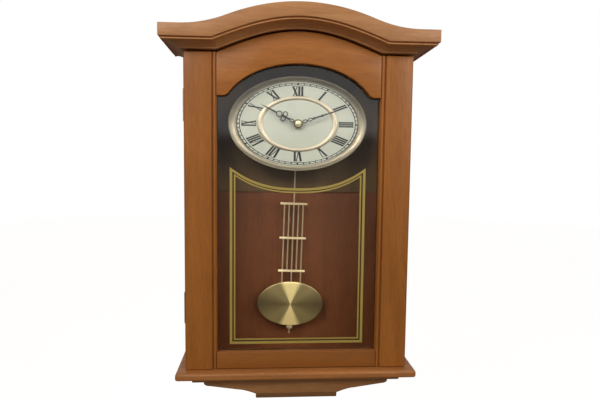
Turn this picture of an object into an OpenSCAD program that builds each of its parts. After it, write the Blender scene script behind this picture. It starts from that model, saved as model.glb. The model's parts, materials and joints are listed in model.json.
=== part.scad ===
// Wall clock with a hinged arched door, an oval dial and a gridiron-style pendulum.
// X runs to the right as the clock is seen, +Y into the wall, Z up. The origin is the
// centre of the keyhole in the hanger plate, on the wall's surface.
// Heights inside the modules are measured from the door's lower edge; hung() lowers
// them all by hanger_height.

/* [Case] */
// Width of the door and of the case behind it
case_width = 351; // [330:1:360]
// Height of the door's stiles
stile_height = 491.5; // [470:0.5:510]
// Depth from the wall to the door's front face
case_depth = 92; // [88:1:110]
// Thickness of the case's side boards
side_thickness = 14; // [10:1:18]
// Height of the keyhole above the door's lower edge
hanger_height = 470; // [450:1:480]

/* [Door] */
// Thickness of the door
door_thickness = 20; // [18:1:24]
// Width of each stile
stile_width = 49.3; // [40:0.1:60]
// Height of the bottom rail
bottom_rail_height = 26; // [20:1:40]
// Height of the shoulders where the arched opening starts
shoulder_height = 427.3; // [400:0.1:440]
// Top of the glazed arch
arch_top = 477.2; // [460:0.1:485]

/* [Crown] */
// How far the crown stands in front of the door
crown_projection = 31; // [20:1:40]
// Overall width of the crown
crown_width = 412.6; // [400:0.1:430]
// Top of the crown at its middle
crown_top = 558.5; // [545:0.5:570]

/* [Dial] */
// Height of the dial's bezel
dial_height = 150; // [130:1:152]
// Width of the dial, bob and glazed arch against their height
oval = 1.48; // [1:0.01:1.52]
// Height of the hands' arbor above the door's lower edge
dial_centre = 388.4; // [380:0.1:395]
// Length of the hour hand
hour_hand_length = 67; // [50:1:70]
// Length of the minute hand
minute_hand_length = 74; // [60:1:74]

/* [Pendulum] */
// Distance from the pivot to the middle of the bob
pendulum_length = 273.5; // [255:0.5:276]
// Height of the oval bob
bob_height = 76; // [60:1:80]
// How far the pendulum is drawn to the left of plumb
pendulum_lean = 1.62; // [0:0.01:3]

/* [Hidden] */
$fn = 64;

// Case and door planes, in Y
door_front = -case_depth;
door_back = door_front + door_thickness;
case_front = door_back + 1;
half_case = case_width / 2;
half_carcass = half_case - 1.5;
inner_half = half_carcass - side_thickness;
half_opening = half_case - stile_width;
plate_thickness = 1.5;
board_thickness = 6;
board_front = -plate_thickness - board_thickness;
batten_width = 16;
batten_thickness = 12;
batten_inner = inner_half - batten_width;
backing_front = board_front - 3;
backing_bottom = 277;
shelf_gap = 1;
rail_recess = 1.6;
glass_front = door_front + 11.5;
glass_back = glass_front + 2;
rebate = 7.5;

// Screws
screw_head = 1;
back_screw_head = 3;
screw_height = [40, 250, 440];
hanger_screw_head = 2.6;
hanger_screw_x = [-12, 12];
hanger_screw_z = [-16, 20];

// Arched opening, door top and crown outlines
arch_rise_radius = 80;
arch_half_width = 120;
rail_rise = 33.5;
crown_front = door_front - crown_projection;
half_crown = crown_width / 2;
fascia_thickness = 18;
fascia_back = crown_front + fascia_thickness;
fascia_low = 505.5;
fascia_rise = 32.3;
fascia_arch_half = 130;
crown_end_top = 524;
crown_convex_half = 108;
crown_flank_half = 177;
crown_convex_drop = 21;
cove_depth = crown_projection - 1;
cove_cuts = [1.5, 4, 7, 11, 15, fascia_thickness, 22, 26, cove_depth];
outline_step = 3;
cove_step = 9;

// Access hole behind the movement
access_half_width = 42;
access_low = dial_centre - 62;
access_high = dial_centre + 40;

// Shelf and apron
shelf_half = 189.7;
shelf_projection = 15.2;
shelf_thickness = 11.2;
shelf_top = -shelf_gap;
shelf_bottom = shelf_top - shelf_thickness;
moulding_half = 167.5;
moulding_bottom = -19.8;
apron_thickness = 16;
foot_half = 65;
foot_top = -41.4;
foot_bottom = -48.8;

// Hinge
hinge_x = -half_case - 2.1;
hinge_y = (door_back + case_front) / 2;
knuckle_radius = 2;
pin_radius = 1;
pin_clearance = 0.05;
hinge_height = 48;
hinge_heights = [70, 390];
leaf_width = 21;
leaf_thickness = 1;

// Dial and hands
dial_rx = dial_height * oval / 2;
dial_rz = dial_height / 2;
bezel_width_x = 13.5;
bezel_width_z = 8.5;
dial_face = -55.4;
dial_back = -54.6;
bezel_front = dial_face - 5;
hour_hand_y = dial_face - 6.6;
minute_hand_y = dial_face - 9;
hand_thickness = 0.6;
hour_angle = -63.2;
minute_angle = 71.2;
hub_radius = 6.8;
cap_radius = 5.6;
post_x = 70;
post_z = 32;
post_radius = 4;

// Movement
move_half = 28;
move_low = dial_centre - 50;
move_high = dial_centre + 28;
cover_front = dial_back;
cover_back = cover_front + 1.6;
move_back = -34;
wall = 1.6;
rear_wall_front = move_back - 2;
bush_radius = 4;
bush_front = dial_face - 5;
pipe_bore = 3;
pipe_outer = 2.7;
pipe_inner = 1.95;
arbor_radius = 1.65;
pivot_radius = 0.75;
pivot_bore = 0.8;
cannon_teeth = 12;
reduction_teeth = 36;
reduction_pinion_teeth = 10;
hour_teeth = 40;
cannon_module = 0.5;
hour_module = 0.48;
reduction_distance = (cannon_teeth + reduction_teeth) * cannon_module / 2;
centre_teeth = 60;
third_pinion_teeth = 10;
centre_module = 0.34;
third_distance = (centre_teeth + third_pinion_teeth) * centre_module / 2;
third_angle = 40;
setting_angle = -110;
reduction_x = -reduction_distance;
third_x = third_distance * cos(third_angle);
third_z = third_distance * sin(third_angle);
setting_x = reduction_x + reduction_distance * cos(setting_angle);
setting_z = reduction_distance * sin(setting_angle);
hour_level = cover_back + 0.7;
cannon_level = hour_level + 2;
centre_level = cannon_level + 2.5;
third_level = centre_level + 3;
wheel_thickness = 1.3;

// Pendulum
pendulum_y = -25;
pivot_z = move_low + 20.5;
pendulum_pin_radius = 1.2;
rod_radius = 1.2;
rod_spacing = 7.9;
bar_half = 22.8;
bar_height = 3.6;
bar_thickness = 3.4;
bar_drops = [101.5, 160, 216.5];
bob_rx = bob_height * oval / 2;
bob_rz = bob_height / 2;
bob_half_thickness = 4;
bob_slot = 0.4;
thread_end = pendulum_length + bob_rz + 14;
nut_drop = pendulum_length + bob_rz + 1;

// Shared shapes

module hung() {
    translate([0, 0, -hanger_height]) children();
}

// A plate drawn in X and Z, from its front plane to its back plane in Y
module slab(front, back) {
    translate([0, back, 0]) rotate([90, 0, 0]) linear_extrude(back - front) children();
}

// A round bar along Y
module bar_y(x, z, radius, front, back) {
    translate([x, back, z]) rotate([90, 0, 0]) cylinder(r = radius, h = back - front);
}

module block(x_range, y_range, z_range) {
    translate([x_range[0], y_range[0], z_range[0]])
        cube([x_range[1] - x_range[0], y_range[1] - y_range[0], z_range[1] - z_range[0]]);
}

function oval_points(rx, rz, steps = 120) =
    [for (i = [0 : steps - 1]) [rx * cos(360 * i / steps), rz * sin(360 * i / steps)]];

function steps_between(from, to, step = outline_step) =
    [for (i = [0 : ceil(abs(to - from) / step)]) from + (to - from) * i / ceil(abs(to - from) / step)];

// Height of a cosine arch that springs from its base at half a span to either side
function arch_height(x, half, base, rise) =
    abs(x) >= half ? base : base + rise * cos(90 * x / half);

// The crown's top: a convex middle, a concave flank and a level end
function crown_height(x) =
    abs(x) <= crown_convex_half
        ? crown_top - crown_convex_drop * pow(x / crown_convex_half, 2)
        : abs(x) <= crown_flank_half
            ? crown_end_top + (crown_top - crown_convex_drop - crown_end_top)
                * pow((crown_flank_half - abs(x)) / (crown_flank_half - crown_convex_half), 2)
            : crown_end_top;

// Drop of the cove below the fascia at a distance behind the crown's front
function cove_drop(depth) =
    depth < 3 ? 1 : depth < 6 ? 2.2
        : depth < cove_depth - 4 ? 2.2 + 7 * (1 - cos(90 * (depth - 6) / (cove_depth - 10)))
        : 11;

// Places along the crown, with one at each end of the arch
function crown_steps(half, step) = concat(
    steps_between(-half, -fascia_arch_half, step),
    [for (x = steps_between(-fascia_arch_half, fascia_arch_half, step)) if (abs(x) < fascia_arch_half) x],
    steps_between(fascia_arch_half, half, step));

// The front of the crown between its top edge and the arch under it
module crown_outline(half) {
    xs = crown_steps(half, outline_step);
    polygon(concat(
        [for (x = xs) [x, crown_height(x)]],
        [for (i = [len(xs) - 1 : -1 : 0])
            [xs[i], arch_height(xs[i], fascia_arch_half, fascia_low, fascia_rise)]]
    ));
}

// One layer of the cove: under the fascia it is a band, behind the fascia it reaches the top
module cove_outline(depth) {
    behind = depth >= fascia_thickness;
    half = behind ? half_carcass : half_crown - depth;
    arch_half = fascia_arch_half - depth / 6;
    xs = crown_steps(half, cove_step);
    polygon(concat(
        [for (x = xs) [x, behind ? crown_height(x) - 2
            : arch_height(x, fascia_arch_half, fascia_low, fascia_rise)]],
        [for (i = [len(xs) - 1 : -1 : 0])
            [xs[i], arch_height(xs[i], arch_half, fascia_low, fascia_rise) - cove_drop(depth)]]
    ));
}

// The glazed opening, grown by a margin for the rebate and the pane
module opening_2d(margin) {
    translate([-half_opening - margin, bottom_rail_height - margin])
        square([2 * (half_opening + margin), shoulder_height - bottom_rail_height + 2 * margin]);
    translate([0, arch_top - arch_rise_radius])
        intersection() {
            polygon(oval_points(arch_half_width + margin, arch_rise_radius + margin));
            translate([-arch_half_width - margin, 0])
                square([2 * (arch_half_width + margin), arch_rise_radius + margin]);
        }
}

// A toothed wheel in the XZ plane, centred on the hands' arbor or another axle
module gear_2d(teeth, size, turn = 0) {
    root = (teeth / 2 - 1.15) * size;
    tip = (teeth / 2 + 0.8) * size;
    pitch = 360 / teeth;
    polygon([for (i = [0 : teeth - 1]) for (corner = [[-0.27, root], [-0.1, tip], [0.1, tip], [0.27, root]])
        let (angle = turn + (i + corner[0]) * pitch) [corner[1] * cos(angle), corner[1] * sin(angle)]]);
}

module wheel_y(x, z, level, thickness) {
    translate([x, 0, dial_centre + z]) slab(level, level + thickness) children();
}

// A slotted screw driven from the back: its head starts at head_back and its shank points forward
module screw_y(x, z, head_back, head_radius, length) {
    difference() {
        union() {
            bar_y(x, z, head_radius, head_back - screw_head, head_back);
            bar_y(x, z, head_radius / 2, head_back - length, head_back - screw_head);
        }
        block([x - head_radius, x + head_radius], [head_back - 0.5, head_back + 1], [z - 0.4, z + 0.4]);
    }
}

// The holes for such a screw, a little wider than its shank
module screw_hole(x, z, head_radius, length) {
    bar_y(x, z, head_radius / 2 + 0.05, -length, 1);
}

// Case

module side_board(side) {
    difference() {
        block([side > 0 ? inner_half : -half_carcass, side > 0 ? half_carcass : -inner_half],
            [case_front, 0], [shelf_top, fascia_low]);
        if (side < 0)
            for (z = hinge_heights)
                block([-half_carcass - 1, hinge_x + leaf_width + 3],
                    [case_front - 1, case_front + leaf_thickness], [z, z + hinge_height]);
    }
}

module side_left() {
    color("peru") hung() side_board(-1);
}

module side_right() {
    color("peru") hung() side_board(1);
}

// The top board, with a raised front strip that closes the arch of the crown's backer
module case_top() {
    strip_half = 60;
    strip_depth = 8;
    strip_rise = 11;
    color("peru") hung() {
        block([-half_carcass, half_carcass], [case_front, 0], [fascia_low, crown_end_top - 2]);
        block([-strip_half, strip_half], [case_front, case_front + strip_depth],
            [crown_end_top - 2, crown_end_top - 2 + strip_rise]);
    }
}

module back_screw_holes() {
    for (x = [-1, 1], z = screw_height)
        screw_hole(x * (inner_half - batten_width / 2), z, back_screw_head, 17);
}

module back_battens() {
    color("peru") hung() difference() {
        for (side = [-1, 1])
            block([side > 0 ? batten_inner : -inner_half, side > 0 ? inner_half : -batten_inner],
                [board_front - batten_thickness, board_front], [shelf_top, fascia_low]);
        back_screw_holes();
    }
}

module access_hole() {
    block([-access_half_width, access_half_width], [-30, 10], [access_low, access_high]);
}

module back_board() {
    color("saddlebrown") hung() difference() {
        block([-inner_half, inner_half], [board_front, -plate_thickness], [shelf_top, fascia_low]);
        access_hole();
        block([-10, 10], [board_front - 1, 0], [hanger_height - 9, hanger_height + 14]);
        back_screw_holes();
        for (x = hanger_screw_x, z = hanger_screw_z)
            screw_hole(x, hanger_height + z, hanger_screw_head, 7.2);
    }
}

module dial_backing() {
    color([0.2, 0.19, 0.18]) hung() difference() {
        block([-batten_inner, batten_inner], [backing_front, board_front], [backing_bottom, fascia_low]);
        access_hole();
    }
}

module base_shelf() {
    round = shelf_thickness / 2;
    middle = shelf_top - round;
    front = door_front - shelf_projection + round;
    color("peru") hung() {
        block([-shelf_half + round, shelf_half - round], [front, 0], [shelf_bottom, shelf_top]);
        translate([-shelf_half + round, front, middle])
            rotate([0, 90, 0]) cylinder(r = round, h = 2 * (shelf_half - round));
        for (x = [-1, 1]) {
            translate([x * (shelf_half - round), 0, middle])
                rotate([90, 0, 0]) cylinder(r = round, h = -front);
            translate([x * (shelf_half - round), front, middle]) sphere(r = round);
        }
    }
}

module base_moulding() {
    lip = 4;
    color("peru") hung() {
        block([-moulding_half, moulding_half], [door_front - 5, -2], [shelf_bottom - lip, shelf_bottom]);
        block([-moulding_half + 3, moulding_half - 3], [door_front - 2, -2],
            [moulding_bottom, shelf_bottom - lip]);
    }
}

// Lower edge of the apron at a distance from its middle: an ogee, a long slope, a round end
function apron_edge(x) =
    x < 92 ? -34 + (foot_top + 34) * pow((92 - x) / (92 - foot_half), 1.5)
        : x < 138 ? -34 + 6.5 * (x - 92) / 46
        : -27.5 + 5 * (1 - sqrt(max(0, 1 - pow((x - 138) / 9, 2))));

module apron_outline() {
    xs = concat([foot_half], steps_between(foot_half + 3, 137, 4), [138, 141, 144, 146, 147]);
    polygon(concat(
        [[147, moulding_bottom], [-147, moulding_bottom]],
        [for (i = [len(xs) - 1 : -1 : 0]) [-xs[i], apron_edge(xs[i])]],
        [for (x = xs) [x, apron_edge(x)]]
    ));
}

module apron() {
    color("peru") hung() slab(door_front, door_front + apron_thickness) apron_outline();
}

module apron_foot() {
    color("saddlebrown") hung()
        block([-foot_half, foot_half], [door_front + 1, -30], [foot_bottom, foot_top]);
}

module apron_returns() {
    color("peru") hung() for (side = [-1, 1])
        block([side > 0 ? 126 : -140, side > 0 ? 140 : -126],
            [door_front + apron_thickness, -4], [-27, moulding_bottom]);
}

// Crown

module crown_fascia() {
    color("peru") hung() slab(crown_front, fascia_back) crown_outline(half_crown);
}

module crown_cove() {
    color("sienna") hung() for (i = [0 : len(cove_cuts) - 2])
        slab(crown_front + cove_cuts[i], crown_front + cove_cuts[i + 1]) cove_outline(cove_cuts[i]);
}

module crown_backer() {
    xs = steps_between(-half_carcass, half_carcass);
    color("sienna") hung() slab(crown_front + cove_depth, case_front)
        polygon(concat(
            [for (x = xs) [x, crown_height(x) - 2]],
            [for (i = [len(xs) - 1 : -1 : 0])
                [xs[i], arch_height(xs[i], fascia_arch_half - 3, stile_height + 3, rail_rise + 1.5)]]
        ));
}

// Section of a crown return, with its cove no deeper than the front cove is at that place
module crown_return_outline(limit) {
    polygon(concat(
        [[half_carcass, crown_end_top], [half_carcass, fascia_low - cove_drop(limit)]],
        [for (i = [len(cove_cuts) - 2 : -1 : 0])
            [half_crown - cove_cuts[i], fascia_low - cove_drop(min(cove_cuts[i], limit))]],
        [[half_crown, fascia_low], [half_crown, crown_end_top]]
    ));
}

module crown_return(side) {
    mirror([side > 0 ? 0 : 1, 0, 0]) {
        for (i = [0 : len(cove_cuts) - 2])
            if (cove_cuts[i] >= fascia_thickness)
                slab(crown_front + cove_cuts[i], crown_front + cove_cuts[i + 1])
                    crown_return_outline(cove_cuts[i]);
        slab(crown_front + cove_depth, 0) crown_return_outline(cove_depth);
    }
}

module crown_return_left() {
    color("peru") hung() crown_return(-1);
}

module crown_return_right() {
    color("peru") hung() crown_return(1);
}

// Rear hardware

module back_screws() {
    color("silver") hung() for (x = [-1, 1], z = screw_height)
        screw_y(x * (inner_half - batten_width / 2), z, screw_head - plate_thickness,
            back_screw_head, 16);
}

module hanger_plate() {
    color("goldenrod") hung() difference() {
        block([-17, 17], [-plate_thickness, 0], [hanger_height - 22, hanger_height + 26]);
        bar_y(0, hanger_height, 4.5, -5, 5);
        block([-2.1, 2.1], [-5, 5], [hanger_height, hanger_height + 10]);
        bar_y(0, hanger_height + 10, 2.1, -5, 5);
        for (x = hanger_screw_x, z = hanger_screw_z) {
            bar_y(x, hanger_height + z, hanger_screw_head / 2 + 0.3, -5, 5);
            bar_y(x, hanger_height + z, hanger_screw_head + 0.05, -screw_head, 5);
        }
    }
}

module hanger_screws() {
    color("silver") hung() for (x = hanger_screw_x, z = hanger_screw_z)
        screw_y(x, hanger_height + z, 0, hanger_screw_head, 7);
}

module wall_bumpers() {
    color("dimgray") hung() for (x = [-140, 140]) bar_y(x, 22, 8, -plate_thickness, 0);
}

module magnetic_catch() {
    color("dimgray") hung() {
        block([inner_half - 16, inner_half], [case_front + 1, case_front + 20], [232, 272]);
        for (z = [240, 260])
            block([inner_half - 13, inner_half - 4], [case_front, case_front + 1], [z, z + 4]);
    }
}

// Hinges

module hinge_leaf(low, high, y_range, z) {
    translate([hinge_x, hinge_y, z + low]) cylinder(r = knuckle_radius, h = high - low);
    block([hinge_x, hinge_x + leaf_width], y_range, [z + low, z + high]);
}

module hinge_bore(z) {
    translate([hinge_x, hinge_y, z - 1])
        cylinder(r = pin_radius + pin_clearance, h = hinge_height + 2);
}

module hinge_leaves_case() {
    color("goldenrod") hung() for (z = hinge_heights) difference() {
        union() {
            for (part = [[0, 15.8], [32.2, hinge_height]])
                hinge_leaf(part[0], part[1], [case_front, case_front + leaf_thickness], z);
            block([hinge_x + 6, hinge_x + leaf_width],
                [case_front, case_front + leaf_thickness], [z, z + hinge_height]);
        }
        hinge_bore(z);
    }
}

module hinge_leaves_door() {
    color("goldenrod") hung() for (z = hinge_heights) difference() {
        union() {
            hinge_leaf(16.1, 31.9, [door_back - leaf_thickness, door_back], z);
            block([hinge_x + 6, hinge_x + leaf_width],
                [door_back - leaf_thickness, door_back], [z, z + hinge_height]);
        }
        hinge_bore(z);
    }
}

module hinge_pins() {
    color("goldenrod") hung() for (z = hinge_heights) {
        translate([hinge_x, hinge_y, z - 0.2]) cylinder(r = pin_radius, h = hinge_height + 0.4);
        for (end = [z - 1.3, z + hinge_height + 0.1])
            translate([hinge_x, hinge_y, end]) cylinder(r = knuckle_radius - 0.2, h = 1.2);
    }
}

// Door

module stile_section() {
    bead = 7.2;
    quirk = door_front + 2.8;
    polygon([
        [half_opening, glass_front], [half_opening, door_front + 3.4],
        [half_opening + 0.7, door_front + 2.3], [half_opening + 2.2, door_front + rail_recess],
        [half_opening + 5, door_front + rail_recess], [half_opening + 6.2, quirk],
        [half_opening + bead, quirk], [half_opening + bead, door_front + 0.8],
        [half_opening + bead + 0.8, door_front], [half_case - 2.5, door_front],
        [half_case - 0.8, door_front + 0.8], [half_case, door_front + 2.5],
        [half_case, door_back], [half_opening + rebate + 0.5, door_back],
        [half_opening + rebate + 0.5, glass_front]
    ]);
}

module stile(side) {
    chamfer = 2;
    difference() {
        mirror([side > 0 ? 0 : 1, 0, 0]) linear_extrude(stile_height) stile_section();
        translate([side * half_case, door_front, stile_height]) rotate([45, 0, 0])
            cube([2 * stile_width + 10, chamfer * sqrt(2), chamfer * sqrt(2)], center = true);
        if (side < 0)
            for (z = hinge_heights)
                block([-half_case - 1, hinge_x + leaf_width + 3],
                    [door_back - leaf_thickness, door_back + 1], [z, z + hinge_height]);
    }
}

module stile_left() {
    color("chocolate") hung() stile(-1);
}

module stile_right() {
    color("chocolate") hung() stile(1);
}

module top_rail_outline() {
    xs = steps_between(-half_opening, half_opening);
    polygon(concat(
        [for (x = xs) [x, arch_height(x, half_opening, stile_height - 0.5, rail_rise)]],
        [[half_opening, shoulder_height - 2], [-half_opening, shoulder_height - 2]]
    ));
}

module top_rail() {
    color("chocolate") hung() {
        slab(door_front + rail_recess, glass_front) difference() {
            top_rail_outline();
            opening_2d(0);
        }
        slab(glass_front, door_back) difference() {
            top_rail_outline();
            opening_2d(rebate);
        }
    }
}

module bottom_rail() {
    color("chocolate") hung() {
        block([-half_opening, half_opening], [door_front + rail_recess, glass_front],
            [0, bottom_rail_height]);
        block([-half_opening, half_opening], [glass_front, door_back],
            [0, bottom_rail_height - rebate]);
    }
}

module glass_pane() {
    color([0.8, 0.9, 0.9, 0.3]) hung() slab(glass_front, glass_back) opening_2d(rebate - 0.5);
}

// Drop of a border's top below its corners
function border_drop(x, half, sag) = sag * (1 - pow(abs(x) / half, 2.5));

// One printed border: upright sides, a level foot and a sagging top
module border_2d(half, low, corner, sag, line) {
    xs = steps_between(-half, half, 4);
    inner_xs = steps_between(-half + line, half - line, 4);
    difference() {
        polygon(concat([[half, low], [-half, low]],
            [for (x = xs) [x, corner - border_drop(x, half, sag)]]));
        polygon(concat([[half - line, low + line], [-half + line, low + line]],
            [for (x = inner_xs) [x, corner - line * 1.2 - border_drop(x, half, sag)]]));
    }
}

module gold_lines() {
    color("gold") hung() slab(glass_back, glass_back + 0.2) {
        border_2d(107, 36, 319, 32.5, 4);
        border_2d(100.5, 42.5, 308.5, 27.3, 2.5);
    }
}

module glass_retainers() {
    width = 3.5;
    color("saddlebrown") hung() {
        for (side = [-1, 1])
            block([side > 0 ? half_opening : -half_opening - rebate + 0.5,
                    side > 0 ? half_opening + rebate - 0.5 : -half_opening],
                [glass_back + 0.2, door_back], [bottom_rail_height, shoulder_height]);
        block([-half_opening, half_opening], [glass_back + 0.2, door_back],
            [bottom_rail_height - rebate + 0.5, bottom_rail_height]);
        for (x = [-80, 0, 80])
            slab(glass_back + 0.2, door_back) translate([x, 0])
                square_clip(x, width);
    }
}

// A turned-over clip that holds the pane under the arch
module square_clip(x, width) {
    top = arch_top - arch_rise_radius + (arch_rise_radius + rebate - 1)
        * sqrt(1 - pow((abs(x) + width) / (arch_half_width + rebate), 2));
    translate([-width, top - width]) square([2 * width, width]);
}

module catch_strike() {
    color("silver") hung()
        block([inner_half - 14, inner_half - 3], [door_back, door_back + 0.8], [236, 268]);
}

// Dial

module dial_plate() {
    color("ivory") hung() slab(dial_face, dial_back) difference() {
        translate([0, dial_centre]) polygon(oval_points(dial_rx - 4, dial_rz - 4));
        translate([0, dial_centre]) circle(r = bush_radius + 0.3);
    }
}

module bezel_step(grow, front, back) {
    slab(front, back) translate([0, dial_centre]) difference() {
        polygon(oval_points(dial_rx - grow, dial_rz - grow));
        polygon(oval_points(dial_rx - bezel_width_x, dial_rz - bezel_width_z));
    }
}

module dial_bezel() {
    color("tan") hung() {
        bezel_step(0, dial_face - 3.4, dial_face);
        bezel_step(2, bezel_front, dial_face - 3.4);
        slab(dial_face, dial_back + 1) translate([0, dial_centre]) difference() {
            polygon(oval_points(dial_rx, dial_rz));
            polygon(oval_points(dial_rx - 3.8, dial_rz - 3.8));
        }
    }
}

module dial_ring() {
    color("burlywood") hung() slab(dial_face - 0.8, dial_face) translate([0, dial_centre]) difference() {
        polygon(oval_points(65.4, 44.4));
        polygon(oval_points(56.3, 38.5));
    }
}

module dial_posts() {
    color("silver") hung() for (x = [-post_x, post_x], z = [-post_z, post_z])
        bar_y(x, dial_centre + z, post_radius, dial_back, backing_front);
}

// Movement

module movement_case() {
    color([0.15, 0.15, 0.16]) hung() difference() {
        union() {
            difference() {
                block([-move_half, move_half], [cover_back, move_back], [move_low, move_high]);
                block([-move_half + wall, move_half - wall], [cover_back - 1, rear_wall_front],
                    [move_low + 17, move_high - wall]);
            }
            bar_y(0, pivot_z, 3.2, rear_wall_front - 3, rear_wall_front);
        }
        block([-move_half + wall, move_half - wall], [cover_back + 1, move_back + 1],
            [move_low + wall, move_low + 16]);
        for (axle = [[0, 0], [reduction_x, 0], [third_x, third_z]])
            bar_y(axle[0], dial_centre + axle[1], pivot_bore, rear_wall_front - 1, move_back - 0.6);
        bar_y(setting_x, dial_centre + setting_z, 1.56, rear_wall_front - 1, move_back + 1);
        bar_y(0, pivot_z, pendulum_pin_radius, rear_wall_front - 4, move_back + 1);
    }
}

module movement_cover() {
    color([0.15, 0.15, 0.16]) hung() difference() {
        union() {
            block([-move_half, move_half], [cover_front, cover_back], [move_low, move_high]);
            bar_y(0, dial_centre, bush_radius, bush_front, cover_front);
        }
        bar_y(0, dial_centre, pipe_bore, bush_front - 1, cover_back + 1);
        for (axle = [[reduction_x, 0], [third_x, third_z], [setting_x, setting_z]])
            bar_y(axle[0], dial_centre + axle[1], pivot_bore, cover_front + 0.4, cover_back + 1);
    }
}

module fixing_nut() {
    color("goldenrod") hung() difference() {
        union() {
            bar_y(0, dial_centre, 8, dial_face - 0.8, dial_face);
            translate([0, dial_face - 0.8, dial_centre]) rotate([90, 0, 0])
                cylinder(r = 6.6, h = 2, $fn = 6);
        }
        bar_y(0, dial_centre, bush_radius, dial_face - 9, dial_face + 1);
    }
}

module drive_coil() {
    low = move_high - 9;
    color("sienna") hung() difference() {
        union() {
            translate([-22, -43, low]) rotate([0, 90, 0]) cylinder(r = 4.5, h = 20);
            for (x = [-23.5, -2]) block([x, x + 1.5], [-48, -38], [low - 5, low + 5]);
        }
        translate([-30, -43, low]) rotate([0, 90, 0]) cylinder(r = 1.5, h = 40);
    }
}

module circuit_board() {
    color("darkgreen") hung() {
        block([18, 25], [-39, -38], [dial_centre - 22, dial_centre - 2]);
        block([19.5, 23.5], [-41, -39], [dial_centre - 10, dial_centre - 5]);
        block([21, 22], [-38, rear_wall_front], [dial_centre - 20, dial_centre - 4]);
    }
}

module battery() {
    color("steelblue") hung() translate([-24.9, (cover_back + move_back) / 2, move_low + 8.8])
        rotate([0, 90, 0]) {
            cylinder(r = 7, h = 49);
            cylinder(r = 2.7, h = 50.1);
        }
}

module battery_contacts() {
    end = move_half - wall;
    z = move_low + 8.8;
    color("silver") hung() for (side = [-1, 1])
        block([side > 0 ? end - 0.6 : -end, side > 0 ? end : 0.6 - end], [-47, -39], [z - 4, z + 4]);
    color("silver") hung() {
        translate([0.6 - end, -43.5, z]) rotate([0, 90, 0]) cylinder(r = 2, h = 0.9);
        translate([end - 1.2, -43.5, z]) rotate([0, 90, 0]) cylinder(r = 2, h = 0.6);
    }
}

module pendulum_bracket() {
    color("silver") hung() {
        bar_y(0, pivot_z, pendulum_pin_radius, rear_wall_front - 3, pendulum_y + 5);
        bar_y(0, pivot_z, 2.4, pendulum_y + 2.2, pendulum_y + 3.4);
        bar_y(0, pivot_z, 2.4, move_back, pendulum_y - 2.2);
    }
}

module minute_arbor() {
    color("goldenrod") hung() {
        bar_y(0, dial_centre, arbor_radius, minute_hand_y - 2, third_level - 0.5);
        bar_y(0, dial_centre, pivot_radius, third_level - 0.5, move_back - 0.8);
        wheel_y(0, 0, cannon_level, wheel_thickness) gear_2d(cannon_teeth, cannon_module);
        wheel_y(0, 0, centre_level, wheel_thickness)
            gear_2d(centre_teeth, centre_module, third_angle);
    }
}

module hour_wheel() {
    color("goldenrod") hung() difference() {
        union() {
            bar_y(0, dial_centre, pipe_outer, hour_hand_y - 0.8, hour_level);
            wheel_y(0, 0, hour_level, wheel_thickness) gear_2d(hour_teeth, hour_module);
        }
        bar_y(0, dial_centre, pipe_inner, hour_hand_y - 9, hour_level + 9);
    }
}

module reduction_wheel() {
    half_tooth = 180 / reduction_teeth;
    color("goldenrod") hung() {
        bar_y(reduction_x, dial_centre, pivot_radius, cover_front + 0.6, move_back - 0.8);
        bar_y(reduction_x, dial_centre, 1.1, hour_level - 0.4, rear_wall_front - 0.5);
        wheel_y(reduction_x, 0, cannon_level, wheel_thickness)
            gear_2d(reduction_teeth, cannon_module, half_tooth);
        wheel_y(reduction_x, 0, hour_level, wheel_thickness)
            gear_2d(reduction_pinion_teeth, hour_module, 180 / reduction_pinion_teeth);
    }
}

module third_wheel() {
    towards_centre = third_angle + 180;
    color("goldenrod") hung() {
        bar_y(third_x, dial_centre + third_z, pivot_radius, cover_front + 0.6, move_back - 0.8);
        bar_y(third_x, dial_centre + third_z, 1, cannon_level, rear_wall_front - 0.5);
        wheel_y(third_x, third_z, centre_level, wheel_thickness)
            gear_2d(third_pinion_teeth, centre_module, towards_centre + 180 / third_pinion_teeth);
        wheel_y(third_x, third_z, third_level, wheel_thickness) gear_2d(50, 0.36);
    }
}

// Turn of the setting pinion that puts a gap where the reduction wheel has a tooth
setting_turn = setting_angle + 180 + 180 / cannon_teeth
    + (setting_angle - 180 / reduction_teeth) * reduction_teeth / cannon_teeth;

module setting_knob() {
    color("whitesmoke") hung() {
        bar_y(setting_x, dial_centre + setting_z, pivot_radius, cover_front + 0.6, cannon_level);
        bar_y(setting_x, dial_centre + setting_z, 1.5, cannon_level, move_back + 1);
        bar_y(setting_x, dial_centre + setting_z, 6.5, move_back + 0.6, move_back + 4.6);
        wheel_y(setting_x, setting_z, cannon_level, wheel_thickness)
            gear_2d(cannon_teeth, cannon_module, setting_turn);
    }
}

// Hands

// One flat piece of a hand
module hand_part() {
    linear_extrude(hand_thickness) children();
}

// A hand turned clockwise from upright. Each loop is [x, height, half width, half length],
// each stem [from, to] and each bead [height, radius].
module hand(level, angle, length, hole, loops, stems, beads) {
    wire = 1.5;
    last = loops[len(loops) - 1];
    blade_start = last[1] + last[3] - wire / 2;
    translate([0, level, dial_centre]) rotate([90, 0, 0]) rotate(-angle) difference() {
        union() {
            hand_part() circle(r = hub_radius);
            for (stem = stems) hand_part() translate([-wire, stem[0]])
                square([2 * wire, stem[1] - stem[0]]);
            for (loop = loops) hand_part() translate([loop[0], loop[1]]) difference() {
                polygon(oval_points(loop[2], loop[3], 40));
                polygon(oval_points(loop[2] - wire, loop[3] - wire, 40));
            }
            hand_part() polygon([[-1.3, blade_start], [-0.9, length * 0.85], [0, length],
                [0.9, length * 0.85], [1.3, blade_start]]);
            for (bead = beads) hand_part() translate([0, bead[0]]) circle(r = bead[1]);
        }
        translate([0, 0, -1]) cylinder(r = hole, h = 3);
    }
}

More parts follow.
